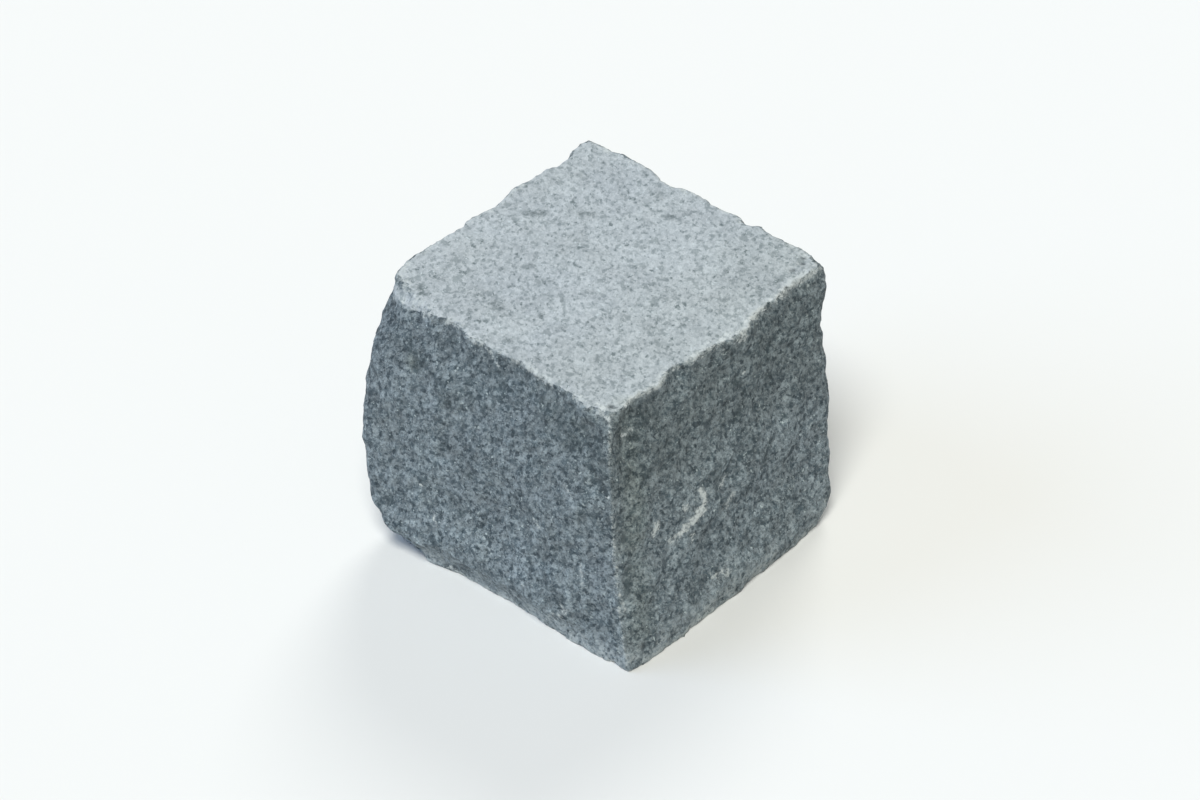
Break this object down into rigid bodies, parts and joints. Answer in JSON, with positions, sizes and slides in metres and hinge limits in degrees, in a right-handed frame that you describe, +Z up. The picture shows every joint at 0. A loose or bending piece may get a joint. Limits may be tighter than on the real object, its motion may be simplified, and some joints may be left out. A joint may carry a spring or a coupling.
{
  "type": "andesite cobblestone",
  "caption": "Roughly cubic andesite paving sett with a sawn flat top and bottom and hand-split sides with chipped edges.",
  "frame": {"origin": "middle of the stone's box, on the plane of the sawn bottom face", "axes": "+Z up out of the sawn top face, +X and -Y out of the two split sides that meet at the crisp front arris"},
  "size_m": [0.1088, 0.1074, 0.1],
  "materials": {
    "andesite": "dry natural stone, sawn flat above and below and split rough on the sides"
  },
  "bodies": {
    "root": {"cobblestone": "andesite"}
  },
  "joints": []
}
